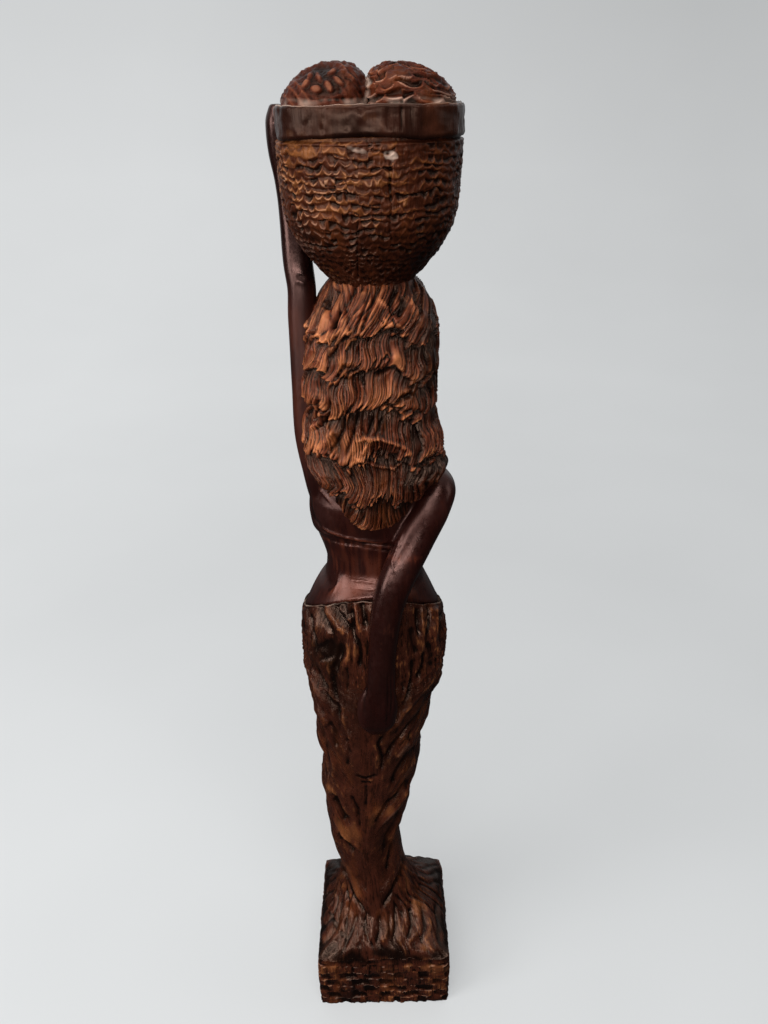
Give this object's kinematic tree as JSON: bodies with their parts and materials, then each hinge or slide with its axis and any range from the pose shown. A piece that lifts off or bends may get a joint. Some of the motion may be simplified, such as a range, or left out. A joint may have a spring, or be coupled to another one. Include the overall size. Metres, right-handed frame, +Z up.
{
  "type": "carved wooden statue",
  "caption": "Tall dark carved wood figure of a woman with long hair, one arm raised to a basket of fruit on her head, a flared skirt and a square woven-look plinth.",
  "frame": {"origin": "middle of the square underside of the plinth", "axes": "+Z up along the figure, +Y the way she faces, +X her right hand side as seen from behind, so her raised arm is on the -X side"},
  "size_m": [0.095, 0.095, 0.616],
  "materials": {
    "wood": "dark reddish brown stain, waxed on the smooth skin, rubbed tan on the carved ridges"
  },
  "bodies": {
    "root": {"carved_woman": "wood"}
  },
  "joints": []
}
